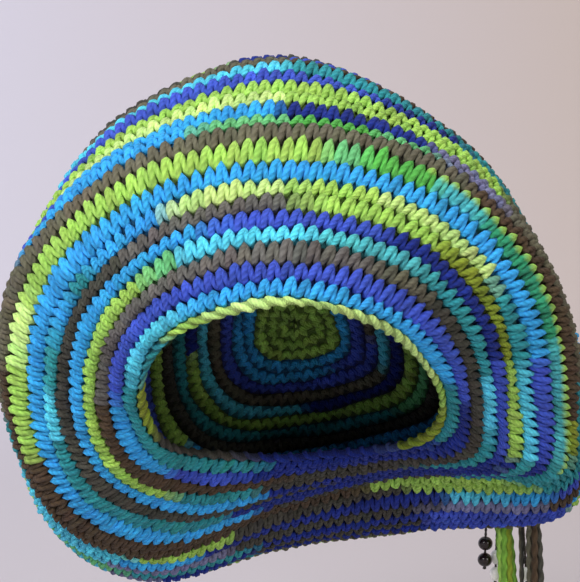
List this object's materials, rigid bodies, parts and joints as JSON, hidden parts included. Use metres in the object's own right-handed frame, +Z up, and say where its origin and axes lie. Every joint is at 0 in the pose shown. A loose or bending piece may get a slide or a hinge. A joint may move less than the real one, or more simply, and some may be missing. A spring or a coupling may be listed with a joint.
{
  "type": "crocheted hat",
  "caption": "Large soft crocheted hat with a full rounded crown, a broad brim worked in round the face, striped rounds, and yarn tassels and threaded beads at one side.",
  "frame": {"origin": "the middle of the brim's edge, where it rests on the forehead", "axes": "+X towards the wearer's left, +Y towards the back of the head, +Z up"},
  "size_m": [0.3323, 0.2776, 0.3457],
  "materials": {
    "striped_yarn": "soft matte acrylic yarn in lime, sky blue, violet blue, aqua, teal and grey-brown rounds",
    "lime_yarn": "soft matte acrylic yarn",
    "grey_yarn": "soft matte acrylic yarn",
    "dark_bead": "glossy dark brown",
    "pearl_bead": "glossy pearl white"
  },
  "bodies": {
    "root": {"crown_back": "striped_yarn", "crown_side": "striped_yarn", "brim": "striped_yarn", "edging": "lime_yarn", "lime_tassel": "lime_yarn", "grey_tassel": "grey_yarn", "thin_tassel": "grey_yarn", "dark_bead_string": "dark_bead", "pearl_bead_string": "pearl_bead", "mixed_bead_string": "pearl_bead"}
  },
  "joints": []
}
